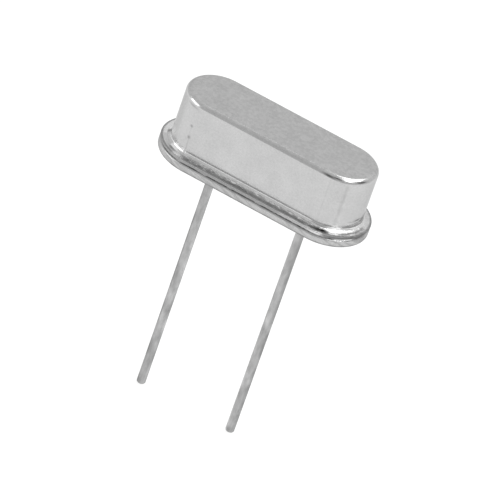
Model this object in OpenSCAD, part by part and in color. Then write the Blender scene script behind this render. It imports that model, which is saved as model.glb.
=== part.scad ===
/* [Can] */
// Length of the can over its straight wall
can_length = 9.9; // [9.5:0.05:10.4]
// Width of the can over its straight wall
can_width = 3.3; // [3.2:0.05:3.7]
// Height of the can's flat top above the seating plane
can_height = 3.45; // [3.1:0.05:3.5]
// Thickness of the sheet that the can is drawn from
can_sheet = 0.15; // [0.13:0.01:0.2]
// Outside radius of the can's top edge
can_top_radius = 0.26; // [0.15:0.01:0.35]
// Outside radius where the can's wall turns out into its flange
can_foot_radius = 0.2; // [0.12:0.01:0.26]
// Radius on both sides of the can flange's edge
can_edge_radius = 0.06; // [0.02:0.01:0.06]

/* [Flange] */
// How far both flanges stand out from the can's wall
flange_reach = 0.46; // [0.4:0.01:0.52]
// Thickness of the base plate's rim
rim_thickness = 0.4; // [0.3:0.01:0.45]
// Radius of the base rim's edges
rim_edge_radius = 0.1; // [0.02:0.01:0.12]
// Height of the weld bead that holds the two flanges apart
weld_height = 0.05; // [0.02:0.01:0.08]
// Width of the weld bead
weld_width = 0.1; // [0.05:0.01:0.12]

/* [Base plate] */
// Height of the raised boss above the seating plane
boss_height = 0.95; // [0.7:0.05:1.1]
// Radius of the boss's top edge
boss_edge_radius = 0.15; // [0.05:0.01:0.2]
// Clearance between the boss and the can's wall
boss_clearance = 0.1; // [0.05:0.01:0.2]
// Diameter of each hole that holds a glass seal
seal_diameter = 1.6; // [1.3:0.05:1.9]
// How far the glass stops short of the base plate's faces
seal_recess = 0.05; // [0.02:0.01:0.1]
// Depth of the hollow that the glass forms between the pin and the hole
seal_meniscus = 0.05; // [0.01:0.01:0.08]

/* [Leads] */
// Distance between the two leads' centres
lead_pitch = 4.88; // [4.7:0.01:5.08]
// Diameter of a lead over its tin coat
lead_diameter = 0.43; // [0.38:0.01:0.5]
// Length of a lead below the seating plane
lead_length = 13; // [3:0.1:20]
// Thickness of the tin coat
tin_coat = 0.01; // [0.005:0.005:0.02]
// Height over which the tin coat thins out towards the base plate
tin_fade = 0.55; // [0.55:0.01:0.8]
// Radius of the lead's cut edge
lead_tip_radius = 0.06; // [0.02:0.01:0.1]
// Diameter of the flattened head on the lead's inner end
head_diameter = 0.8; // [0.75:0.05:1.0]
// Thickness of the flattened head
head_thickness = 0.15; // [0.1:0.01:0.2]
// Clearance between the boss and the flattened head
head_clearance = 0.3; // [0.2:0.01:0.4]

/* [Quartz blank] */
// Thickness of the quartz blank
blank_thickness = 0.23; // [0.1:0.01:0.3]
// Clearance between each end of the blank and the can's wall
blank_end_clearance = 0.75; // [0.6:0.05:1.0]
// Clearance between each side of the blank and the can's wall
blank_side_clearance = 0.6; // [0.3:0.05:0.8]
// Clearance between the blank and the can's top
blank_headroom = 0.45; // [0.35:0.05:0.8]
// Thickness of the metal film on the blank
film_thickness = 0.02; // [0.005:0.005:0.03]
// Length of each electrode's pad
pad_length = 4.6; // [3:0.1:5]
// Margin between the pad and the blank's sides
pad_margin = 0.25; // [0.1:0.05:0.4]
// Width of the tab from the pad to the blank's end
tab_width = 0.7; // [0.4:0.05:1.0]
// How far the tab folds back under the blank's end
tab_fold = 0.5; // [0.2:0.05:0.7]

/* [Clips] */
// Thickness of the sheet that a clip is bent from
clip_sheet = 0.12; // [0.08:0.01:0.15]
// Width of a clip
clip_width = 1.2; // [0.8:0.05:1.4]
// Inside radius of a clip's bends
clip_bend_radius = 0.1; // [0.05:0.01:0.12]
// Length of a clip's foot on the inner side of the lead's centre
clip_foot = 0.45; // [0.3:0.05:0.6]
// Length of the shelf under the blank's end
clip_shelf = 0.6; // [0.4:0.05:0.8]
// Clearance between the blank's end and the clip's lip
clip_lip_clearance = 0.14; // [0.13:0.01:0.2]
// How far the lip stands above the blank
clip_lip_rise = 0.1; // [0.05:0.01:0.2]
// Radius of the drop of conductive adhesive
glue_radius = 0.6; // [0.5:0.05:0.7]
// Height of the adhesive above the blank
glue_rise = 0.22; // [0.15:0.01:0.3]

/* [Hidden] */
$fn = 96;

LEFT = 180;   // turn about the vertical axis that puts a piece on the -X side
RIGHT = 0;
EXTRA = 1;    // how far a cutting shape runs past the face it opens
FULL_BEND = 0.45;  // largest share of a clip's rise that one bend may take

// Both flanges and the can's wall are one stadium outline at different distances from its middle line
straight = can_length - can_width;
wall_reach = can_width / 2;
inner_reach = wall_reach - can_sheet;
rim_reach = wall_reach + flange_reach;

can_seat = rim_thickness + weld_height;
can_flange_top = can_seat + can_sheet;
inner_top = can_height - can_sheet;
foot_reach = wall_reach + can_foot_radius;

boss_reach = inner_reach - boss_clearance;
seal_radius = seal_diameter / 2;
weld_reach = foot_reach + weld_width / 2;

lead_x = lead_pitch / 2;
lead_radius = lead_diameter / 2;
pin_radius = lead_radius - tin_coat;
head_seat = boss_height + head_clearance;
head_edge_radius = head_thickness / 3;
clip_seat = head_seat + head_thickness;

blank_half = can_length / 2 - can_sheet - blank_end_clearance;
blank_width = 2 * (inner_reach - blank_side_clearance);
blank_top = inner_top - blank_headroom;
blank_bottom = blank_top - blank_thickness;
film_end = blank_half + film_thickness;
pad_width = blank_width - 2 * pad_margin;
pad_corner = min(pad_width, pad_length) / 6;

shelf_top = blank_bottom - film_thickness;
clip_rise = shelf_top - clip_seat;
clip_bend = min(clip_bend_radius, FULL_BEND * clip_rise - clip_sheet);
shelf_start = film_end - clip_shelf;
riser_outer = shelf_start - clip_bend;
riser_inner = riser_outer - clip_sheet;
lip_inner = film_end + clip_lip_clearance;
lip_outer = lip_inner + clip_sheet;
lip_top = blank_top + film_thickness + clip_lip_rise;

// Radius of the arc that sinks by depth in the middle of its chord
function sag_radius(chord, depth) = (chord * chord + 4 * depth * depth) / (8 * depth);

// ---- shapes shared by several pieces ----

// A vertical section, drawn with x as the distance from the middle line, swept round the stadium
module stadium_sweep() {
    for (side = [LEFT, RIGHT]) rotate([0, 0, side]) {
        translate([straight / 2, 0, 0]) rotate([0, 0, -90]) rotate_extrude(angle = 180) children();
        rotate([90, 0, 90]) linear_extrude(straight, center = true) children();
    }
}

// A rectangle from the middle line out to reach, with its two outer corners rounded
module slab_section(reach, bottom, top, top_radius, bottom_radius) {
    difference() {
        translate([0, bottom]) square([reach, top - bottom]);
        if (top_radius > 0) translate([reach, top]) rotate(180) corner_waste(top_radius);
        if (bottom_radius > 0) translate([reach, bottom]) rotate(90) corner_waste(bottom_radius);
    }
}

// What rounding takes off a square corner that sits at the origin and opens towards +x and +y
module corner_waste(radius) {
    difference() {
        translate([-EXTRA, -EXTRA]) square(radius + EXTRA);
        translate([radius, radius]) circle(radius);
    }
}

// A quarter ring that turns a sheet through a right angle, in quadrant 0 to 3 about its centre
module bend(centre, quadrant, sheet, radius) {
    translate(centre) rotate(90 * quadrant) intersection() {
        difference() {
            circle(radius + sheet);
            circle(radius);
        }
        square(radius + sheet);
    }
}

// ---- can ----

module can_outside() {
    slab_section(wall_reach, can_seat, can_height, can_top_radius, 0);
    slab_section(rim_reach, can_seat, can_flange_top, can_edge_radius, can_edge_radius);
    // the outward turn of the foot
    translate([wall_reach, can_flange_top]) difference() {
        square(can_foot_radius);
        translate([can_foot_radius, can_foot_radius]) circle(can_foot_radius);
    }
}

module can_inside() {
    slab_section(inner_reach, can_seat - EXTRA, inner_top, can_top_radius - can_sheet, 0);
    translate([inner_reach, can_seat]) difference() {
        translate([-EXTRA, 0]) square([can_foot_radius + can_sheet + EXTRA, can_foot_radius + can_sheet]);
        translate([can_foot_radius + can_sheet, can_foot_radius + can_sheet])
            circle(can_foot_radius + can_sheet);
    }
}

module can() {
    color("silver") stadium_sweep() difference() {
        can_outside();
        can_inside();
    }
}

// ---- base plate and its seals ----

module base() {
    color("lightsteelblue") difference() {
        stadium_sweep() {
            slab_section(rim_reach, 0, rim_thickness, rim_edge_radius, rim_edge_radius);
            slab_section(boss_reach, 0, boss_height, boss_edge_radius, 0);
            translate([weld_reach - weld_width / 2, 0]) square([weld_width, can_seat]);
        }
        for (side = [-1, 1]) translate([side * lead_x, 0, -EXTRA])
            cylinder(r = seal_radius, h = boss_height + 2 * EXTRA);
    }
}

module glass_seal(side) {
    gap = seal_radius - pin_radius;
    hollow = sag_radius(gap, seal_meniscus);
    middle = (seal_radius + pin_radius) / 2;
    color("darkslategray") translate([side * lead_x, 0, 0]) rotate_extrude() difference() {
        translate([pin_radius, seal_recess]) square([gap, boss_height - 2 * seal_recess]);
        translate([middle, seal_recess + seal_meniscus - hollow]) circle(hollow);
        translate([middle, boss_height - seal_recess - seal_meniscus + hollow]) circle(hollow);
    }
}

module glass_seal_left() { glass_seal(-1); }
module glass_seal_right() { glass_seal(1); }

// ---- leads ----

module lead(side) {
    color("gainsboro") translate([side * lead_x, 0, 0]) rotate_extrude() {
        // tinned length, with its cut edge rounded
        slab_section(lead_radius, -lead_length, -tin_fade, 0, lead_tip_radius);
        // the coat thins out to the bare pin
        polygon([[0, -tin_fade], [lead_radius, -tin_fade], [pin_radius, 0], [0, 0]]);
        square([pin_radius, head_seat]);
        slab_section(head_diameter / 2, head_seat, clip_seat, head_edge_radius, head_edge_radius);
    }
}

module lead_left() { lead(-1); }
module lead_right() { lead(1); }

// ---- quartz blank, its electrodes and what holds them ----

// One strip of sheet, seen from the side: foot on the lead's head, riser, shelf and end lip
module clip_outline() {
    foot_start = lead_x - clip_foot;
    foot_end = riser_inner - clip_bend;
    lip_bend_x = lip_inner - clip_bend;
    translate([foot_start, clip_seat]) square([foot_end - foot_start, clip_sheet]);
    bend([foot_end, clip_seat + clip_sheet + clip_bend], 3, clip_sheet, clip_bend);
    translate([riser_inner, clip_seat + clip_sheet + clip_bend])
        square([clip_sheet, clip_rise - 2 * (clip_sheet + clip_bend)]);
    bend([shelf_start, shelf_top - clip_sheet - clip_bend], 1, clip_sheet, clip_bend);
    translate([shelf_start, shelf_top - clip_sheet]) square([lip_bend_x - shelf_start, clip_sheet]);
    bend([lip_bend_x, shelf_top + clip_bend], 3, clip_sheet, clip_bend);
    translate([lip_inner, shelf_top + clip_bend]) square([clip_sheet, lip_top - shelf_top - clip_bend]);
}

module clip(side) {
    color("tan") rotate([0, 0, side]) rotate([90, 0, 0])
        linear_extrude(clip_width, center = true) clip_outline();
}

module clip_left() { clip(LEFT); }
module clip_right() { clip(RIGHT); }

module quartz_blank() {
    color("lightcyan") translate([-blank_half, -blank_width / 2, blank_bottom])
        cube([2 * blank_half, blank_width, blank_thickness]);
}

module pad_outline() {
    for (x = [-1, 1], y = [-1, 1])
        translate([x * (pad_length / 2 - pad_corner), y * (pad_width / 2 - pad_corner)]) circle(pad_corner);
    square([pad_length - 2 * pad_corner, pad_width], center = true);
    square([pad_length, pad_width - 2 * pad_corner], center = true);
}

// The film on the blank's upper face, with a tab that wraps round the blank's -X end
module electrode() {
    translate([0, 0, blank_top]) linear_extrude(film_thickness) {
        pad_outline();
        translate([-film_end, -tab_width / 2]) square([film_end, tab_width]);
    }
    translate([-film_end, -tab_width / 2, shelf_top])
        cube([film_thickness, tab_width, blank_thickness + 2 * film_thickness]);
    translate([-film_end, -tab_width / 2, shelf_top]) cube([tab_fold, tab_width, film_thickness]);
}

module electrode_top() { color("gold") electrode(); }

// The lower film is the upper one turned over about the blank's middle
module electrode_bottom() {
    color("goldenrod") translate([0, 0, blank_top + blank_bottom]) rotate([0, 180, 0]) electrode();
}

// A drop that joins the blank's end to the clip's shelf and lip
module adhesive(side) {
    drop_height = blank_top + glue_rise + EXTRA - shelf_top;
    color("dimgray") rotate([0, 0, side]) difference() {
        intersection() {
            translate([film_end, 0, blank_top + film_thickness + glue_rise - glue_radius])
                sphere(glue_radius);
            translate([shelf_start, -glue_radius, shelf_top])
                cube([lip_inner - shelf_start, 2 * glue_radius, drop_height]);
        }
        translate([0, -blank_width / 2, blank_bottom]) cube([blank_half, blank_width, blank_thickness]);
        // the electrode's tab goes round the blank's end
        translate([0, -tab_width / 2, shelf_top])
            cube([film_end, tab_width, blank_thickness + 2 * film_thickness]);
        rotate([90, 0, 0]) linear_extrude(clip_width + EXTRA, center = true) clip_outline();
    }
}

module adhesive_left() { adhesive(LEFT); }
module adhesive_right() { adhesive(RIGHT); }

can();
base();
glass_seal_left();
glass_seal_right();
lead_left();
lead_right();
clip_left();
clip_right();
quartz_blank();
electrode_top();
electrode_bottom();
adhesive_left();
adhesive_right();
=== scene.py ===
import math

import bmesh
import bpy
from mathutils import Matrix, Vector, noise


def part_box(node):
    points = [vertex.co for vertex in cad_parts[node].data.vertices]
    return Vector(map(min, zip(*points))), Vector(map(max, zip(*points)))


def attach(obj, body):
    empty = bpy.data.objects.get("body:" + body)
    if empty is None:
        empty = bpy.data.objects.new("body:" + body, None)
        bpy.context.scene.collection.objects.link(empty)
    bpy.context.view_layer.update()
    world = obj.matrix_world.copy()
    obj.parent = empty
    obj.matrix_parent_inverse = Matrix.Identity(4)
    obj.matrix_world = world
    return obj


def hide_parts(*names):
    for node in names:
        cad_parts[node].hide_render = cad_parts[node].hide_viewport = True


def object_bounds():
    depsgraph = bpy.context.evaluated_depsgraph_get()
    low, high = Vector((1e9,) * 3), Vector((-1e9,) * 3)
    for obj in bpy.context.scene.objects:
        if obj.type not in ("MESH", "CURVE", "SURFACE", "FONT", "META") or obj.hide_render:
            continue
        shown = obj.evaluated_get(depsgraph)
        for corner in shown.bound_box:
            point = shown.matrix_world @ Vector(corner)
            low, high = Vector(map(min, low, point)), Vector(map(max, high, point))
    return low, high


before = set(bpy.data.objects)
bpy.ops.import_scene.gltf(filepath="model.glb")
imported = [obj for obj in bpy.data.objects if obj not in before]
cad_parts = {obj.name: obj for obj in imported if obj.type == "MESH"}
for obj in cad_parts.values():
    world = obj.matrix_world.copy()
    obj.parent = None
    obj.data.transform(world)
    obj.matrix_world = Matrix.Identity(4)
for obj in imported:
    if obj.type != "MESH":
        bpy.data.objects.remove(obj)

CAD_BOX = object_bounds()
MM = 0.001

# ---- sizes, in millimetres: what the frame's boxes don't hold is repeated from the part's source ----

FLANGE_REACH = 0.46
CAN_SHEET = 0.15
CAN_TOP_RADIUS = 0.26
CAN_FOOT_RADIUS = 0.2
CAN_EDGE_RADIUS = 0.06
RIM_THICKNESS = 0.4
RIM_EDGE_RADIUS = 0.1
WELD_WIDTH = 0.1
BOSS_CLEARANCE = 0.1
BOSS_EDGE_RADIUS = 0.15
TIN_COAT = 0.01
TIN_FADE = 0.55
LEAD_RADIUS = 0.215
LEAD_TIP_RADIUS = 0.11      # rounder than in the part's source, as the photo's cut ends are
HEAD_THICKNESS = 0.15
HEAD_EDGE_RADIUS = HEAD_THICKNESS / 3
SEAL_MENISCUS = 0.05

# the weld metal that was squeezed out between the flanges, which isn't in the part's source
BEAD_REACH = 1.97       # its middle
BEAD_THIN = 0.025       # radius where it is thinnest
BEAD_THICK = 0.095      # and where it is thickest
BEAD_ARC = 120          # degrees that its round section spans, up and down from outwards
BEAD_WAVES = ((3.0, 0.5), (11.0, 0.35))     # cells in each millimetre and how much they thicken it
SWELLING_ANGLE = 52     # degrees round the right end to its longest thick stretch
SWELLING_LENGTH = 0.85
SWELLING_SHARE = 1.35

# ---- fineness of the meshes ----

SUPPORT = 0.03          # from the end of a curve to the ring that holds the flat beside it
SHARP = 35              # degrees between two faces from which their edge isn't smoothed
SAME_PLACE = 1e-6       # vertices nearer than this are made one
END_STEPS = 72          # facets round each rounded end
SIDE_STEPS = 8          # stretches along each flat side
BEAD_STEPS = 90         # the same for the weld bead
TURN_STEPS = 64         # facets round a lead or a seal
TOP_STEPS = 16          # facets in each curve of a profile
FOOT_STEPS = 14
INNER_FOOT_STEPS = 12
RIM_STEPS = 8
EDGE_STEPS = 6
HEAD_STEPS = 5
BEAD_ARC_STEPS = 8
GLASS_STEPS = 12


def box_mm(node):
    """Lowest and highest corner of a CAD node, in millimetres."""
    low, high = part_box(node)
    return Vector(low) / MM, Vector(high) / MM


CAN_LOW, CAN_HIGH = box_mm("can")
BASE_TOP = box_mm("base")[1].z
SEAL_LOW, SEAL_HIGH = box_mm("glass_seal_right")
LEAD_LOW, LEAD_HIGH = box_mm("lead_right")

RIM_REACH = CAN_HIGH.y
WALL_REACH = RIM_REACH - FLANGE_REACH
INNER_REACH = WALL_REACH - CAN_SHEET
END_X = CAN_HIGH.x - RIM_REACH      # where the round ends start, to either side
CAN_SEAT = CAN_LOW.z
CAN_TOP = CAN_HIGH.z
FLANGE_TOP = CAN_SEAT + CAN_SHEET
FOOT_CENTRE = (WALL_REACH + CAN_FOOT_RADIUS, FLANGE_TOP + CAN_FOOT_RADIUS)
LEAD_X = (LEAD_LOW.x + LEAD_HIGH.x) / 2
PIN_RADIUS = LEAD_RADIUS - TIN_COAT
SEAL_RADIUS = SEAL_HIGH.y


# ---- profiles: lists of (reach, height) points ----

def arc(centre, radius, start, end, steps):
    """Points along an arc, in degrees from +reach towards +height."""
    points = []
    for i in range(steps + 1):
        a = math.radians(start + (end - start) * i / steps)
        points.append((centre[0] + radius * math.cos(a), centre[1] + radius * math.sin(a)))
    return points


def can_outside():
    """From the flat top over its edge, down the wall, through the foot and round the flange's edge."""
    top = (WALL_REACH - CAN_TOP_RADIUS, CAN_TOP - CAN_TOP_RADIUS)
    edge = RIM_REACH - CAN_EDGE_RADIUS
    return (
        [(top[0] - 4 * SUPPORT, CAN_TOP), (top[0] - SUPPORT, CAN_TOP)]
        + arc(top, CAN_TOP_RADIUS, 90, 0, TOP_STEPS)
        + [(WALL_REACH, top[1] - SUPPORT), (WALL_REACH, FOOT_CENTRE[1] + SUPPORT)]
        + arc(FOOT_CENTRE, CAN_FOOT_RADIUS, 180, 270, FOOT_STEPS)
        + arc((edge, FLANGE_TOP - CAN_EDGE_RADIUS), CAN_EDGE_RADIUS, 90, 0, EDGE_STEPS)
        + arc((edge, CAN_SEAT + CAN_EDGE_RADIUS), CAN_EDGE_RADIUS, 0, -90, EDGE_STEPS)
    )


def can_inside():
    """From the flange's underside over the foot and up the inner wall to the ceiling."""
    radius = CAN_TOP_RADIUS - CAN_SHEET
    ceiling = CAN_TOP - CAN_SHEET
    return (
        arc(FOOT_CENTRE, CAN_FOOT_RADIUS + CAN_SHEET, 270, 180, INNER_FOOT_STEPS)
        + arc((INNER_REACH - radius, ceiling - radius), radius, 0, 90, EDGE_STEPS)
    )


def base_outside():
    """From the underside round the rim, over the weld bead and up the boss."""
    rim = RIM_REACH - RIM_EDGE_RADIUS
    weld = FOOT_CENTRE[0]
    boss = INNER_REACH - BOSS_CLEARANCE
    boss_edge = (boss - BOSS_EDGE_RADIUS, BASE_TOP - BOSS_EDGE_RADIUS)
    return (
        [(rim - 3 * SUPPORT, 0), (rim - SUPPORT, 0)]
        + arc((rim, RIM_EDGE_RADIUS), RIM_EDGE_RADIUS, -90, 0, RIM_STEPS)
        + arc((rim, RIM_THICKNESS - RIM_EDGE_RADIUS), RIM_EDGE_RADIUS, 0, 90, RIM_STEPS)
        + [(weld + WELD_WIDTH, RIM_THICKNESS), (weld + WELD_WIDTH, CAN_SEAT), (weld, CAN_SEAT),
           (weld, RIM_THICKNESS), (boss, RIM_THICKNESS)]
        + arc(boss_edge, BOSS_EDGE_RADIUS, 0, 90, EDGE_STEPS)
    )


def glass_face(height, inwards):
    """The hollow face of the glass between the pin and the hole, from the hole to the pin."""
    points = []
    for i in range(GLASS_STEPS + 1):
        t = i / GLASS_STEPS
        reach = SEAL_RADIUS + (PIN_RADIUS - SEAL_RADIUS) * t
        points.append((reach, height + inwards * SEAL_MENISCUS * 4 * t * (1 - t)))
    return points


def lead_profile():
    """From the middle of the cut end up to the middle of the flattened head."""
    tip = LEAD_LOW.z
    head = LEAD_HIGH.z
    neck = head - HEAD_THICKNESS
    edge = LEAD_HIGH.y - HEAD_EDGE_RADIUS
    corner = (LEAD_RADIUS - LEAD_TIP_RADIUS, tip + LEAD_TIP_RADIUS)
    return (
        [(0, tip), (corner[0] - SUPPORT, tip)]
        + arc(corner, LEAD_TIP_RADIUS, -90, 0, EDGE_STEPS)
        + [(LEAD_RADIUS, corner[1] + SUPPORT), (LEAD_RADIUS, -TIN_FADE)]
        + [(PIN_RADIUS, 0), (PIN_RADIUS, neck)]
        + arc((edge, neck + HEAD_EDGE_RADIUS), HEAD_EDGE_RADIUS, -90, 0, HEAD_STEPS)
        + arc((edge, head - HEAD_EDGE_RADIUS), HEAD_EDGE_RADIUS, 0, 90, HEAD_STEPS)
        + [(0, head)]
    )


# ---- meshes ----

def add_piece(name, bm, material, slot, *replaced):
    """Turns a bmesh in millimetres into a piece with its material that rides on the body; the slot it is
    given is not used.
    """
    bmesh.ops.remove_doubles(bm, verts=bm.verts, dist=SAME_PLACE)
    bmesh.ops.recalc_face_normals(bm, faces=bm.faces)
    for edge in bm.edges:
        edge.smooth = edge.calc_face_angle(0) < math.radians(SHARP)
    for face in bm.faces:
        face.smooth = True
    bmesh.ops.scale(bm, vec=(MM, MM, MM), verts=bm.verts)
    mesh = bpy.data.meshes.new(name)
    bm.to_mesh(mesh)
    bm.free()
    mesh.materials.append(material)
    piece = bpy.data.objects.new(name, mesh)
    bpy.context.scene.collection.objects.link(piece)
    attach(piece, "root")
    if replaced:
        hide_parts(*replaced)


def stadium_outline(steps=SIDE_STEPS, supported=True):
    """One turn round the stadium: x on the middle line and the direction in which a reach is laid off.
    Supports are extra places near the ends of the flat sides."""
    length = 2 * END_X
    supports = (SUPPORT, 4 * SUPPORT) if supported else ()
    stops = [0, *supports]
    stops += [length * i / steps for i in range(1, steps)]
    stops += [length - s for s in reversed(supports)]
    outline = []
    for side in (1, -1):
        outline += [(side * (END_X - s), Vector((0, side, 0))) for s in stops]
        for i in range(END_STEPS):
            a = math.pi * (0.5 + i / END_STEPS)
            outline.append((-side * END_X, side * Vector((math.cos(a), math.sin(a), 0))))
    return outline


def join_rings(bm, rings):
    """Bridges each ring of vertices to the next."""
    for a, b in zip(rings, rings[1:]):
        for i in range(len(a)):
            j = (i + 1) % len(a)
            bm.faces.new((a[i], a[j], b[j], b[i]))


def stadium_sweep(bm, profile):
    """Sweeps a profile round the stadium and returns its rings of vertices."""
    outline = stadium_outline()
    rings = [[bm.verts.new(Vector((x, 0, height)) + reach * way) for x, way in outline]
             for reach, height in profile]
    join_rings(bm, rings)
    return rings


def circle_ring(bm, x, radius, height):
    """A level ring of vertices about the vertical line at x."""
    turn = 2 * math.pi / TURN_STEPS
    return [bm.verts.new((x + radius * math.cos(i * turn), radius * math.sin(i * turn), height))
            for i in range(TURN_STEPS)]


def ring_edges(bm, ring):
    """The edges of a ring, made where there are none."""
    return [bm.edges.get((a, b)) or bm.edges.new((a, b)) for a, b in zip(ring, ring[1:] + ring[:1])]


def turned(bm, x, profile, closed=False):
    """Revolves a profile about the vertical line at x; an open profile starts and ends on that line."""
    inside = profile if closed else profile[1:-1]
    rings = [circle_ring(bm, x, reach, height) for reach, height in inside]
    join_rings(bm, rings + rings[:1] if closed else rings)
    if not closed:
        bm.faces.new(rings[0])
        bm.faces.new(rings[-1])


# ---- materials ----

NOISE_LOW = 0.3         # the usual range of a noise texture
NOISE_HIGH = 0.7
PATCH_TURN_EASE = 6     # degrees
PATCH_EASE = 0.04       # millimetres


class Finish:
    """A procedural material: a Principled shader and what feeds it. Lengths are in millimetres."""

    def __init__(self, name):
        self.material = bpy.data.materials.new(name)
        self.material.use_nodes = True
        self.nodes = self.material.node_tree.nodes
        self.links = self.material.node_tree.links
        self.shader = self.nodes["Principled BSDF"]
        coords = self.nodes.new("ShaderNodeTexCoord")
        scale = self.nodes.new("ShaderNodeVectorMath")
        scale.operation = "SCALE"
        scale.inputs["Scale"].default_value = 1 / MM
        split = self.nodes.new("ShaderNodeSeparateXYZ")
        self.links.new(coords.outputs["Object"], scale.inputs[0])
        self.links.new(scale.outputs["Vector"], split.inputs["Vector"])
        self.here = scale.outputs["Vector"]
        self.x, self.y, self.z = split.outputs

    def beyond(self):
        """How far out past the straight stretch, towards either end."""
        along = self.math("ABSOLUTE", self.x)
        return self.math("MAXIMUM", self.math("SUBTRACT", along, END_X), 0)

    def reach(self):
        """How far out from the can's middle line."""
        beyond = self.beyond()
        squares = self.math("ADD", self.times(beyond, beyond), self.times(self.y, self.y))
        return self.math("SQRT", squares)

    def around(self):
        """Here, as (along the can's outline, reach, up); x and y in up tell its four quarters apart."""
        turn = self.math("ARCTAN2", self.beyond(), self.math("ABSOLUTE", self.y))
        straight = self.math("MINIMUM", self.math("ABSOLUTE", self.x), END_X)
        along = self.math("ADD", straight, self.times(turn, RIM_REACH))
        up = self.mix([(self.z, 1), (self.x, 0.4), (self.y, 0.3)])
        join = self.nodes.new("ShaderNodeCombineXYZ")
        for socket, source in zip(join.inputs, (along, self.reach(), up)):
            self.links.new(source, socket)
        return join.outputs["Vector"]

    def noise(self, cells, stretch=(1, 1, 1), detail=3.0, where=None):
        """Noise with a number of cells in each millimetre."""
        mapping = self.nodes.new("ShaderNodeMapping")
        mapping.inputs["Scale"].default_value = [cells * s for s in stretch]
        texture = self.nodes.new("ShaderNodeTexNoise")
        texture.inputs["Scale"].default_value = 1
        texture.inputs["Detail"].default_value = detail
        self.links.new(where or self.here, mapping.inputs["Vector"])
        self.links.new(mapping.outputs["Vector"], texture.inputs["Vector"])
        return texture.outputs["Fac"]

    def weld_streaks(self):
        """Noise in streaks along the can's outline, which the weld left on both flanges."""
        return self.noise(7, (0.12, 1, 1), detail=4, where=self.around())

    def spread(self, source, middle, by):
        """Maps the noise's usual range onto middle - by to middle + by."""
        node = self.nodes.new("ShaderNodeMapRange")
        node.inputs["From Min"].default_value = NOISE_LOW
        node.inputs["From Max"].default_value = NOISE_HIGH
        node.inputs["To Min"].default_value = middle - by
        node.inputs["To Max"].default_value = middle + by
        self.links.new(source, node.inputs["Value"])
        return node.outputs["Result"]

    def math(self, operation, a, b=0.0):
        """a and b are numbers or sockets."""
        node = self.nodes.new("ShaderNodeMath")
        node.operation = operation
        for socket, value in zip(node.inputs, (a, b)):
            if isinstance(value, bpy.types.NodeSocket):
                self.links.new(value, socket)
            else:
                socket.default_value = value
        return node.outputs[0]

    def times(self, *masks):
        """The product of numbers and sockets."""
        product = masks[0]
        for mask in masks[1:]:
            product = self.math("MULTIPLY", product, mask)
        return product

    def rest(self, mask):
        """What a mask leaves out."""
        return self.math("SUBTRACT", 1, mask)

    def fade(self, source, full, none):
        """1 where the source is at full, easing to 0 at none."""
        node = self.nodes.new("ShaderNodeMapRange")
        node.interpolation_type = "SMOOTHSTEP"
        node.inputs["From Min"].default_value = min(full, none)
        node.inputs["From Max"].default_value = max(full, none)
        node.inputs["To Min"].default_value = 1 if full < none else 0
        node.inputs["To Max"].default_value = 0 if full < none else 1
        self.links.new(source, node.inputs["Value"])
        return node.outputs["Result"]

    def spot(self, centre, radius, squash=(1, 1, 1)):
        """1 at a point, easing to 0 at a radius; squash divides its width along each axis."""
        apart = self.nodes.new("ShaderNodeVectorMath")
        apart.operation = "SUBTRACT"
        apart.inputs[1].default_value = centre
        shape = self.nodes.new("ShaderNodeVectorMath")
        shape.operation = "MULTIPLY"
        shape.inputs[1].default_value = squash
        length = self.nodes.new("ShaderNodeVectorMath")
        length.operation = "LENGTH"
        self.links.new(self.here, apart.inputs[0])
        self.links.new(apart.outputs["Vector"], shape.inputs[0])
        self.links.new(shape.outputs["Vector"], length.inputs[0])
        return self.fade(length.outputs["Value"], 0, radius)

    def turn(self, side):
        """Angle round a round end, in degrees from the front (-Y) towards that side."""
        along = self.math("SUBTRACT", self.times(self.x, side), END_X)
        return self.times(self.math("ARCTAN2", along, self.times(self.y, -1)), math.degrees(1))

    def end_line(self, side, angle, half_width, lean=0.0):
        """1 along an upright line on a round end; lean is in degrees round the end for each mm upwards."""
        turn = self.math("SUBTRACT", self.turn(side), self.times(self.z, lean))
        off = self.math("ABSOLUTE", self.math("SUBTRACT", turn, angle))
        return self.fade(off, 0, math.degrees(half_width / WALL_REACH))

    def between(self, source, low, high, ease):
        """1 from low to high, easing to 0 outside them."""
        return self.times(self.fade(source, low, low - ease), self.fade(source, high, high + ease))

    def patch(self, side, start, end, source, low, high):
        """1 on a round end between two angles and two values of a source, easing to 0 outside them."""
        return self.times(self.between(self.turn(side), start, end, PATCH_TURN_EASE),
                          self.between(source, low, high, PATCH_EASE))

    def mix(self, parts):
        """The sum of (source, share) pairs."""
        total = 0.0
        for source, share in parts:
            total = self.math("ADD", self.times(source, share), total)
        return total

    def colour(self, source, dark, light, *stains_and_painted_light):
        """A colour between dark and light; each layer is (mask, what part of the colour is left under it),
        and a part over 1 is lighter. The layers are real stains and marks, and painted light and shade."""
        ramp = self.nodes.new("ShaderNodeValToRGB")
        ramp.color_ramp.elements[0].position = NOISE_LOW
        ramp.color_ramp.elements[1].position = NOISE_HIGH
        ramp.color_ramp.elements[0].color = (*dark, 1)
        ramp.color_ramp.elements[1].color = (*light, 1)
        self.links.new(source, ramp.inputs["Fac"])
        colour = ramp.outputs["Color"]
        for mask, left in stains_and_painted_light:
            tone_layer = self.nodes.new("ShaderNodeMix")
            tone_layer.data_type = "RGBA"
            tone_layer.blend_type = "MULTIPLY"
            tone_layer.inputs["B"].default_value = (*grey(left), 1)
            self.links.new(mask, tone_layer.inputs["Factor"])
            self.links.new(colour, tone_layer.inputs["A"])
            colour = tone_layer.outputs["Result"]
        self.links.new(colour, self.shader.inputs["Base Color"])

    def roughness(self, source, middle, by, *rougher):
        """Each rougher is (mask, what it adds)."""
        total = self.mix([(self.spread(source, middle, by), 1), *rougher])
        self.links.new(total, self.shader.inputs["Roughness"])

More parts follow.
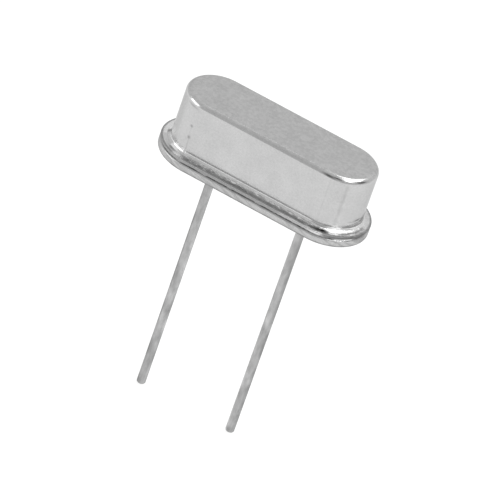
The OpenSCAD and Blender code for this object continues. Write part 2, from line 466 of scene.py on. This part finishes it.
    def bump(self, *layers):
        """Layers are (noise, height in millimetres), from the broadest to the finest."""
        normal = None
        for source, height in layers:
            node = self.nodes.new("ShaderNodeBump")
            node.inputs["Distance"].default_value = height * MM
            self.links.new(source, node.inputs["Height"])
            if normal:
                self.links.new(normal, node.inputs["Normal"])
            normal = node.outputs["Normal"]
        self.links.new(normal, self.shader.inputs["Normal"])

    def set(self, **values):
        """Sets the shader's sockets, named with _ for a space."""
        for name, value in values.items():
            self.shader.inputs[name.replace("_", " ")].default_value = value


def grey(value):
    """A colour without a hue."""
    return (value, value, value)


def end_point(side, angle, height, out=0.0):
    """A point on or out from the can's wall on a round end, at an angle in degrees from the front."""
    a = math.radians(angle)
    reach = WALL_REACH + out
    return (side * (END_X + reach * math.sin(a)), -reach * math.cos(a), height)


# ---- the can's metal ----

RIGHT = 1               # sides: the round ends, seen from the front
LEFT = -1

# Limits of regions: where each is full and where it has faded out.
ENDS_BEYOND = (0.9, 0.3)        # past the ends of the flat sides
FACING_Y = (-1.2, -0.4)
FRONT_Y = (-1.2, -0.2)
FRONT_X = (3.1, 3.7)            # to either side
GLEAM_REACH = (RIM_REACH - 0.08, RIM_REACH - 0.14)
BRIM_REACH = (RIM_REACH - CAN_EDGE_RADIUS, RIM_REACH - 0.16)
TOP_EDGE_REACH = (WALL_REACH - 0.12, WALL_REACH - 0.26)

# Stretches along the front of the flange: from x, to x, and how far they ease out beyond that.
GLEAM_X = (1.9, 3.75, 0.35)
SEAM_X = (-1.4, 3.3, 0.8)
PALE_X = (-3.1, -1.2, 0.2)

# Single marks, as end_spot takes them or as places along the front.
PITS = ((LEFT, 13.7, 2.17, 0.13), (LEFT, 12, 1.56, 0.15))
DENT = ((RIGHT, 75, 1.12, 0.38, 3.2), (RIGHT, 90, 0.97, 0.20, 1.6))
# painted sheen: the left foot's paler colour stands in for light
LEFT_FOOT_SHEEN = (LEFT, 58, 0.98, 0.75, 1.8)     # paler and rougher than the rest
CREASE_X = 3.25
GLINTS_X = (-0.68, 0.33)

# Painted reflections, lighter and darker: what the round ends mirror from place to place. Angles are in
# degrees from the front towards the side, the other sizes are in millimetres, and the last number is what
# part of the colour is left.
FLANGE_PATCHES = (      # side, start, end, nearest and furthest reach beyond the wall, part left
    (RIGHT, -2, 15, 0.34, 0.40, 1.6),
    (RIGHT, 20, 32, 0.22, 0.34, 0.66),
    (RIGHT, 30, 80, 0.39, 0.46, 0.76),
    (RIGHT, 36, 88, 0.14, 0.22, 0.66),
    (RIGHT, 46, 64, 0.26, 0.35, 1.35),
    (RIGHT, 70, 88, 0.20, 0.30, 0.8),
    (LEFT, 10, 20, 0.18, 0.40, 1.9),
    (LEFT, 22, 34, 0.18, 0.26, 0.62),
    (LEFT, 32, 64, 0.20, 0.30, 0.78),
    (LEFT, 42, 76, 0.03, 0.15, 0.66),
)
FOOT_PATCHES = (        # side, start, end, lowest and highest above the flange, part left
    (RIGHT, 0, 20, 0.13, 0.18, 0.62),
    (RIGHT, 34, 43, 0.12, 0.26, 1.5),
)
WALL_SPOTS = (          # side, angle, height, radius, times as wide as high, part left
    (RIGHT, 62, 1.10, 0.30, 6, 0.72),
    (RIGHT, 74, 0.88, 0.75, 2.6, 1.4),
    (LEFT, 24, CAN_TOP - 1.2 * CAN_TOP_RADIUS, 0.50, 5, 0.72),
    (LEFT, 88, 0.92, 0.50, 1.8, 1.3),
)


class CanFinish(Finish):
    """A finish with masks for the can's regions, and with the stains and the painted light and shade on
    each of them.
    """

    def __init__(self, name):
        super().__init__(name)
        self.out = self.reach()
        self.streaks = self.weld_streaks()
        self.ends = self.fade(self.beyond(), *ENDS_BEYOND)
        self.facing = self.fade(self.y, *FACING_Y)
        middle = self.fade(self.math("ABSOLUTE", self.x), *FRONT_X)
        self.front = self.times(self.fade(self.y, *FRONT_Y), middle)
        self.flange = self.fade(self.z, FLANGE_TOP + 0.02, FLANGE_TOP + 0.5 * CAN_FOOT_RADIUS)
        # the flange's outermost strip: dull, but for the front and a painted gleam at its right
        gleam_reach = self.fade(self.out, *GLEAM_REACH)
        self.gleam = self.times(self.between(self.x, *GLEAM_X), gleam_reach, self.facing)
        elsewhere = self.rest(self.math("MAXIMUM", self.front, self.gleam))
        self.brim = self.times(self.fade(self.out, *BRIM_REACH), self.flange, elsewhere)

    def end_spot(self, side, angle, height, radius, flat=1.0, out=0.0):
        """A spot on a round end, flat times as wide as it is high."""
        return self.spot(end_point(side, angle, height, out), radius, (1, 1, flat))

    def top_mottle_and_painted_shade(self):
        """A sandy mottle on the top, and painted shade on the edge along its back and round the left end's
        back.
        """
        sand = self.times(self.fade(self.noise(5, detail=5), 0.40, 0.60),
                          self.fade(self.z, CAN_TOP - 0.02, CAN_TOP - 0.12))
        # painted shade along the top's back edge and round the left end's back
        left_back = self.times(self.fade(self.x, -END_X, 0.4 - END_X), self.fade(self.y, 0, -0.7),
                               self.fade(self.out, *TOP_EDGE_REACH))
        back = self.math("MAXIMUM", left_back, self.fade(self.y, *TOP_EDGE_REACH))
        edge = self.fade(self.z, CAN_TOP - CAN_TOP_RADIUS, CAN_TOP - 1.3 * CAN_TOP_RADIUS)
        return [(sand, 0.905), (self.times(back, edge), 0.86)]

    def wall_marks(self):
        """Draw lines, a slanted scratch, two pits, a crease under the top edge and a dent at the right end:
        their colour, stained on the lines, scratch and pits and painted shade in the crease and the dent;
        and one mask of those that are pressed in."""
        wall = self.between(self.z, 0.95, CAN_TOP - 0.36, 0.12)
        line = self.times(self.end_line(RIGHT, 33, 0.14), wall, self.spread(self.noise(2.5), 0.8, 0.35))
        faint = self.times(self.end_line(RIGHT, 4, 0.06), wall)
        slanted = self.end_line(LEFT, 8, 0.05, lean=2.65)
        scratch = self.times(slanted, self.fade(self.z, 1.15, 1.5))
        hairline = self.times(slanted, self.between(self.z, 1.4, 2.1, 0.15))
        pits = self.math("ADD", *[self.end_spot(*pit) for pit in PITS])
        # painted shade, near black, in the crease under the top edge; the crease itself is pressed in
        crease_and_painted_shade = self.spot((CREASE_X, 0.05 - WALL_REACH, CAN_TOP - 0.13), 0.08, (0.16, 1, 1))
        # painted shade in the dent at the right end; the dent itself is pressed in
        dent_and_painted_shade = self.math("MAXIMUM", *[self.end_spot(*spot) for spot in DENT])
        stains_and_painted_light = [(line, 0.84), (faint, 0.93), (hairline, 0.93), (scratch, 0.82), (pits, 0.62),
                  (crease_and_painted_shade, 0.10), (dent_and_painted_shade, 0.50)]
        return stains_and_painted_light, self.mix([(line, 1), (scratch, 1), (pits, 1), (crease_and_painted_shade, 2), (dent_and_painted_shade, 2)])

    def painted_foot_sheens(self):
        """Painted sheen on the foot and the wall just above it, most of all round the left end, and painted
        glints in two places at the front.
        """
        low = self.fade(self.z, FLANGE_TOP + 0.28, FLANGE_TOP + 0.50)
        leftness = self.math("ADD", 0.35, self.times(self.fade(self.x, -END_X, END_X), 0.65))
        rise = self.between(self.z, FLANGE_TOP + 0.12, FLANGE_TOP + 0.30, 0.04)
        ring = self.between(self.out, WALL_REACH + 0.03, WALL_REACH + 0.12, 0.03)
        glints = [self.spot((x, -0.10 - WALL_REACH, FLANGE_TOP + 0.10), 0.10) for x in GLINTS_X]
        return [(self.times(self.ends, low, leftness), 1.35), (ring, 1.18), (rise, 1.12),
                (self.math("ADD", *glints), 1.9)]

    def flange_stains_and_painted_light(self):
        """What the weld left along the flange's front, on its brim and at the round ends, with painted
        shade under the flange's edge at the front, a painted dark reflection in a streak at the right end's
        front, and a painted gleam at the brim's right.
        """
        inner = self.times(self.flange, self.front, self.fade(self.out, RIM_REACH - 0.18, RIM_REACH - 0.08))
        streaked = self.times(self.fade(self.streaks, 0.40, 0.56), inner,
                              self.rest(self.times(self.fade(self.x, 0.8, -1.2), 0.6)))
        specks = self.noise(5, (0.6, 1, 1), detail=1, where=self.around())
        flecks = self.times(self.fade(specks, 0.66, 0.58), inner)
        pale = self.times(inner, self.between(self.x, *PALE_X))
        seam = self.times(self.between(self.out, RIM_REACH - 0.22, RIM_REACH - 0.15, 0.05),
                          self.between(self.x, *SEAM_X), self.flange, self.facing)
        # painted shade under the flange's edge at the front
        painted_shade_under_edge = self.times(self.front, self.fade(self.z, FLANGE_TOP - 0.050, FLANGE_TOP - 0.015))
        # painted dark reflection: a near-black streak on the flange at the right end's front
        painted_dark_streak = self.times(self.between(self.out, WALL_REACH + 0.12, WALL_REACH + 0.24, 0.05),
                            self.end_spot(RIGHT, 18, FLANGE_TOP, 0.64, out=0.2))
        blotch = self.end_spot(LEFT, 74, FLANGE_TOP + 0.05, 0.20, out=0.07)
        return [(streaked, 0.66), (flecks, 1.5), (pale, 1.18), (seam, 0.80), (painted_shade_under_edge, 0.62),
                (self.brim, 0.72), (self.times(self.brim, self.ends), 0.62), (self.gleam, 1.38),
                (painted_dark_streak, 0.08), (blotch, 0.44)]

    def end_sheens(self):
        """The patches and spots of painted reflection that are listed above."""
        sheens = []
        for *stretch, near, far, left in FLANGE_PATCHES:
            sheens.append((self.patch(*stretch, self.out, WALL_REACH + near, WALL_REACH + far), left))
        for *stretch, low, high, left in FOOT_PATCHES:
            sheens.append((self.patch(*stretch, self.z, FLANGE_TOP + low, FLANGE_TOP + high), left))
        for *place, left in WALL_SPOTS:
            sheens.append((self.end_spot(*place), left))
        return sheens


def can_metal():
    """Drawn nickel silver: a satin skin with slow waves, marked by drawing, welding and use, with painted
    light and shade on its top edge, wall, foot, flange and round ends.
    """
    f = CanFinish("can_metal")
    f.set(Metallic=1, Specular_Tint=(*grey(0.75), 1))
    grain = f.noise(11, detail=5)
    # painted sheen on the left foot, which is also rougher
    left_foot_sheen = f.end_spot(*LEFT_FOOT_SHEEN)
    marks, pressed_in = f.wall_marks()
    f.colour(f.mix([(grain, 0.6), (f.noise(1.1), 0.4)]), grey(0.485), grey(0.59), (left_foot_sheen, 1.6),
             *f.top_mottle_and_painted_shade(), *marks, *f.painted_foot_sheens(), *f.flange_stains_and_painted_light(), *f.end_sheens())
    f.roughness(f.noise(6), 0.20, 0.04, (f.flange, 0.10), (f.brim, 0.22), (left_foot_sheen, 0.22))
    f.bump((f.noise(0.5, detail=1), 0.008),
           (f.times(f.noise(3.2), f.flange), 0.030),
           (f.times(f.streaks, f.flange), 0.016),
           (f.noise(7, (1, 1, 0.06)), 0.0010),
           (grain, 0.0014),
           (pressed_in, -0.004))
    return f.material


# ---- the other materials ----

def base_metal():
    """Nickel plate on the base, duller than the can, rippled and stained round its rim by the weld, with
    painted shade along the rim's lower edge. It is roughest on its upper side, but for one place at the
    right end with a polish, which also carries a painted highlight."""
    f = Finish("base_metal")
    f.set(Metallic=1, Specular_Tint=(*grey(0.6), 1))
    streaks = f.weld_streaks()
    # painted shade: darker along the rim's lower edge
    low = f.times(f.fade(f.z, 0.5 * RIM_EDGE_RADIUS, 1.5 * RIM_EDGE_RADIUS),
                  f.fade(f.reach(), RIM_REACH - 0.4 * RIM_EDGE_RADIUS, RIM_REACH - RIM_EDGE_RADIUS))
    # a place with a polish at the right end: smoother, and lighter in colour as a painted highlight
    polish_and_painted_highlight = f.spot(end_point(RIGHT, 51, RIM_THICKNESS + 0.03, FLANGE_REACH), 0.85, (1, 1, 5.5))
    high = f.times(f.fade(f.z, RIM_THICKNESS, RIM_THICKNESS - 1.5 * RIM_EDGE_RADIUS), f.rest(polish_and_painted_highlight))
    f.colour(f.mix([(f.noise(9, detail=4), 0.6), (streaks, 0.4)]), grey(0.42), grey(0.55),
             (f.fade(streaks, 0.40, 0.54), 0.85), (low, 0.55), (polish_and_painted_highlight, 2.1))
    f.roughness(f.noise(4), 0.26, 0.05, (high, 0.14), (polish_and_painted_highlight, -0.10))
    f.bump((f.noise(1.4, detail=2), 0.014), (streaks, 0.012), (f.noise(10), 0.0016))
    return f.material


def tinned_wire():
    """Dull tin with soft blotches and drawing streaks, and dark at the right lead's cut end; painted shade
    in patches on the leads' outer sides, and painted sheen on their inner sides."""
    f = Finish("tinned_wire")
    f.set(Metallic=1, Specular_Tint=(*grey(0.5), 1))
    outwards = f.math("SUBTRACT", f.math("ABSOLUTE", f.x), LEAD_X)
    outwards = f.times(outwards, 1 / LEAD_RADIUS)       # -1 on the inner side and 1 on the outer
    left = f.fade(f.x, -0.1, 0.1)
    right = f.fade(f.x, 0.1, -0.1)
    patches = f.noise(1.3, (1, 1, 0.6), detail=4)
    # painted shade in patches on the outer sides, more on the left lead; painted sheen on the inner sides,
    # more on the right lead
    painted_outer_shade = f.times(f.fade(outwards, 0.85, 0.30), f.fade(patches, 0.54, 0.44))
    bright = f.times(f.fade(outwards, -0.95, -0.55), f.fade(patches, 0.44, 0.54))
    sheen = f.times(f.fade(outwards, -0.75, -0.25), right)
    cut = f.spot((LEAD_X, -LEAD_RADIUS, LEAD_LOW.z + 0.22), 0.24)
    blotches = f.noise(1.9, (1, 1, 0.6), detail=4)
    f.colour(f.mix([(blotches, 0.6), (f.noise(5, (1, 1, 0.3), detail=3), 0.4)]), grey(0.29), grey(0.57),
             (painted_outer_shade, 0.80), (f.times(painted_outer_shade, left), 0.90), (bright, 1.2), (sheen, 1.2), (cut, 0.74))
    f.roughness(f.noise(3), 0.38, 0.07)
    f.bump((f.noise(1.8, (1, 1, 0.35)), 0.014), (f.noise(14, (1, 1, 0.1)), 0.0018))
    return f.material


def seal_glass():
    """Dark compression glass with a smoky variation and fine bubbles under a glossy face."""
    f = Finish("seal_glass")
    f.set(IOR=1.52)
    f.colour(f.noise(4), (0.010, 0.016, 0.018), (0.030, 0.046, 0.050))
    f.roughness(f.noise(6), 0.10, 0.04)
    f.bump((f.noise(8), 0.0015))
    return f.material


def clip_metal():
    """Thin spring strip with rolling marks along its length."""
    f = Finish("clip_metal")
    f.set(Metallic=1)
    f.colour(f.noise(5, (0.2, 1, 1)), (0.56, 0.55, 0.53), (0.64, 0.63, 0.61))
    f.roughness(f.noise(8, (0.1, 1, 1)), 0.3, 0.05)
    f.bump((f.noise(20, (0.05, 1, 1)), 0.0008))
    return f.material


def quartz():
    """Lapped quartz: clear, with a fine frosted face."""
    f = Finish("quartz")
    f.set(IOR=1.544, Transmission_Weight=1)
    f.colour(f.noise(1), (0.92, 0.94, 0.95), (0.97, 0.98, 0.98))
    f.roughness(f.noise(12), 0.22, 0.06)
    f.bump((f.noise(40), 0.0006))
    return f.material


def electrode_film():
    """Evaporated silver, bright and slightly warm where it has aged."""
    f = Finish("electrode_film")
    f.set(Metallic=1)
    f.colour(f.noise(1.5), (0.80, 0.78, 0.72), (0.90, 0.89, 0.86))
    f.roughness(f.noise(5), 0.2, 0.05)
    f.bump((f.noise(30), 0.0004))
    return f.material


def silver_adhesive():
    """Cured resin full of silver flakes."""
    f = Finish("silver_adhesive")
    f.set(Metallic=0.6)
    f.colour(f.noise(18), grey(0.30), grey(0.58))
    f.roughness(f.noise(14), 0.55, 0.1)
    f.bump((f.noise(12), 0.006))
    return f.material


FINISHES = {build.__name__: build() for build in (
    can_metal, base_metal, tinned_wire, seal_glass, clip_metal, quartz, electrode_film, silver_adhesive)}

CARRIED_OVER = {
    "clip_left": "clip_metal", "clip_right": "clip_metal", "quartz_blank": "quartz",
    "electrode_top": "electrode_film", "electrode_bottom": "electrode_film",
    "adhesive_left": "silver_adhesive", "adhesive_right": "silver_adhesive",
}


# ---- pieces ----

def make_can():
    """The outer and the inner side in one sweep, closed by the flat top and the flat ceiling."""
    bm = bmesh.new()
    rings = stadium_sweep(bm, can_outside() + can_inside())
    bm.faces.new(rings[0])
    bm.faces.new(rings[-1])
    add_piece("can_shell", bm, FINISHES["can_metal"], "can_metal", "can")


def make_base():
    """The plate is swept whole; its two flat faces are then filled round the holes for the seals."""
    bm = bmesh.new()
    rings = stadium_sweep(bm, base_outside())
    lows, highs = [], []
    for x in (-LEAD_X, LEAD_X):
        low = circle_ring(bm, x, SEAL_RADIUS, 0)
        high = circle_ring(bm, x, SEAL_RADIUS, BASE_TOP)
        join_rings(bm, [low, high])
        lows.append(low)
        highs.append(high)
    for rim, holes in ((rings[0], lows), (rings[-1], highs)):
        edges = ring_edges(bm, rim)
        for hole in holes:
            edges += ring_edges(bm, hole)
        bmesh.ops.triangle_fill(bm, use_beauty=True, edges=edges, normal=(0, 0, 1))
    add_piece("base_plate", bm, FINISHES["base_metal"], "base_metal", "base")


def make_weld_bead():
    """Weld metal squeezed out between the flanges, thick and thin by turns."""
    bm = bmesh.new()
    height = (RIM_THICKNESS + CAN_SEAT) / 2
    swelling = Vector(end_point(RIGHT, SWELLING_ANGLE, height, BEAD_REACH - WALL_REACH))
    rings = []
    for x, way in stadium_outline(BEAD_STEPS, supported=False):
        middle = Vector((x, 0, height)) + BEAD_REACH * way
        share = 0.5
        for cells, part in BEAD_WAVES:
            share += part * noise.noise(middle * cells)
        share = max(share, SWELLING_SHARE - (middle - swelling).length / SWELLING_LENGTH)
        radius = BEAD_THIN + (BEAD_THICK - BEAD_THIN) * min(max(share, 0), 1)
        rings.append([bm.verts.new(middle + reach * way + Vector((0, 0, up)))
                      for reach, up in arc((0, 0), radius, -BEAD_ARC, BEAD_ARC, BEAD_ARC_STEPS)])
    join_rings(bm, rings + rings[:1])
    add_piece("weld_bead", bm, FINISHES["base_metal"], "base_metal")


def make_seal(name, node, x):
    """A glass ring round the pin, with a hollow face below and above."""
    bm = bmesh.new()
    lower = glass_face(SEAL_LOW.z, 1)
    upper = glass_face(SEAL_HIGH.z, -1)
    turned(bm, x, lower + upper[::-1], closed=True)
    add_piece(name, bm, FINISHES["seal_glass"], "seal_glass", node)


def make_lead(name, node, x):
    """A tinned wire with its pin and flattened head."""
    bm = bmesh.new()
    turned(bm, x, lead_profile())
    add_piece(name, bm, FINISHES["tinned_wire"], "tinned_wire", node)


make_can()
make_base()
make_weld_bead()
for side, x in (("left", -LEAD_X), ("right", LEAD_X)):
    make_seal("seal_" + side, "glass_seal_" + side, x)
    make_lead("lead_wire_" + side, "lead_" + side, x)

for node, finish in CARRIED_OVER.items():
    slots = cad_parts[node].data.materials
    slots.clear()
    slots.append(FINISHES[finish])


# ---- stage: floor, lights and camera, with lengths in metres and angles in degrees ----

FLOOR_HALF = 2.0
FLOOR_GLOW = 0.85
ROOM_FRONT = 0.65       # strength of the room's light from the front
ROOM_BACK = 0.87        # and from behind the object
DARK_PLACES = (         # azimuth, elevation, full dark and none in degrees from there, part left
    (10, 46, 7, 19, 0.12),
    (95, 31, 8, 20, 0.15),
)
LIGHT_DISTANCE = 0.8
LIGHTS = (              # name, azimuth, elevation, width, height, radiance
    ("light_right", 100, 68, 0.50, 0.38, 3.5),
    ("light_right_front", 54, 50, 0.22, 0.34, 3),
    ("light_back", 170, 61, 0.34, 0.28, 3),
    ("light_left", -59, 10, 0.50, 0.56, 1.9),
)
CAMERA_AZIMUTH = 15.92
CAMERA_ELEVATION = 33.19
CAMERA_ROLL = 19.54
CAMERA_TARGET = Vector((0.535, -0.326, -3.203)) * MM
CAMERA_DISTANCE = 323.23 * MM
LENS_MM = 504
SENSOR_MM = 36


def make_floor():
    """A lit table of plain white paper at the leads' cut ends."""
    half, z = FLOOR_HALF, CAD_BOX[0][2]
    corners = [(-half, -half, z), (half, -half, z), (half, half, z), (-half, half, z)]
    mesh = bpy.data.meshes.new("floor")
    mesh.from_pydata(corners, [], [(0, 1, 2, 3)])
    floor = bpy.data.objects.new("floor", mesh)
    bpy.context.scene.collection.objects.link(floor)
    f = Finish("floor_paper")
    f.colour(f.noise(0.5), grey(0.19), grey(0.21))
    f.roughness(f.noise(2), 0.9, 0.05)
    f.set(Specular_IOR_Level=0, Emission_Color=(1, 1, 1, 1), Emission_Strength=FLOOR_GLOW)
    mesh.materials.append(f.material)


def aim_from(azimuth, elevation):
    """A direction by two angles in degrees; azimuth 0 is in front (-Y) and turns towards +X."""
    a, e = math.radians(azimuth), math.radians(elevation)
    return Vector((math.sin(a) * math.cos(e), -math.cos(a) * math.cos(e), math.sin(e)))


def soft_box(name, azimuth, elevation, width, height, radiance):
    """A rectangular soft light that faces the object."""
    light = bpy.data.lights.new(name, "AREA")
    light.shape = "RECTANGLE"
    light.size = width
    light.size_y = height
    light.energy = radiance * math.pi * width * height
    lamp = bpy.data.objects.new(name, light)
    lamp.location = aim_from(azimuth, elevation) * LIGHT_DISTANCE
    lamp.rotation_euler = lamp.location.to_track_quat("Z", "Y").to_euler()
    bpy.context.scene.collection.objects.link(lamp)


def dark_place(nodes, links, direction, azimuth, elevation, full, none, left):
    """What part of the light is left in a direction, near a dark place in the room."""
    towards = nodes.new("ShaderNodeVectorMath")
    towards.operation = "DOT_PRODUCT"
    towards.inputs[1].default_value = aim_from(azimuth, elevation)
    dark = nodes.new("ShaderNodeMapRange")
    dark.interpolation_type = "SMOOTHSTEP"
    dark.inputs["From Min"].default_value = math.cos(math.radians(none))
    dark.inputs["From Max"].default_value = math.cos(math.radians(full))
    dark.inputs["To Min"].default_value = 1
    dark.inputs["To Max"].default_value = left
    links.new(direction, towards.inputs[0])
    links.new(towards.outputs["Value"], dark.inputs["Value"])
    return dark.outputs["Result"]


def make_world():
    """A pale room, brighter behind the object, with dark places in it."""
    world = bpy.data.worlds.new("studio")
    world.use_nodes = True
    nodes, links = world.node_tree.nodes, world.node_tree.links
    direction = nodes.new("ShaderNodeTexCoord").outputs["Generated"]
    split = nodes.new("ShaderNodeSeparateXYZ")
    blend = nodes.new("ShaderNodeMapRange")
    blend.inputs["From Min"].default_value = -1
    blend.inputs["To Min"].default_value = ROOM_FRONT
    blend.inputs["To Max"].default_value = ROOM_BACK
    links.new(direction, split.inputs["Vector"])
    links.new(split.outputs["Y"], blend.inputs["Value"])
    strength = blend.outputs["Result"]
    for place in DARK_PLACES:
        both = nodes.new("ShaderNodeMath")
        both.operation = "MULTIPLY"
        links.new(strength, both.inputs[0])
        links.new(dark_place(nodes, links, direction, *place), both.inputs[1])
        strength = both.outputs["Value"]
    links.new(strength, nodes["Background"].inputs["Strength"])
    nodes["Background"].inputs["Color"].default_value = (1, 1, 1, 1)
    bpy.context.scene.world = world


def make_camera():
    """A long lens turned about its own axis."""
    roll = math.radians(CAMERA_ROLL)
    back = aim_from(CAMERA_AZIMUTH, CAMERA_ELEVATION)
    across = Vector((0, 0, 1)).cross(back).normalized()
    up = back.cross(across)
    right = across * math.cos(roll) + up * math.sin(roll)
    camera = bpy.data.cameras.new("camera")
    camera.lens = LENS_MM
    camera.sensor_width = SENSOR_MM
    camera.clip_start = 0.01
    camera.clip_end = 10
    eye = bpy.data.objects.new("camera", camera)
    axes = Matrix((right, back.cross(right), back)).transposed().to_4x4()
    eye.matrix_world = Matrix.Translation(CAMERA_TARGET + back * CAMERA_DISTANCE) @ axes
    bpy.context.scene.collection.objects.link(eye)
    bpy.context.scene.camera = eye


make_floor()
make_world()
for light in LIGHTS:
    soft_box(*light)
make_camera()
bpy.context.scene.view_settings.view_transform = "Standard"
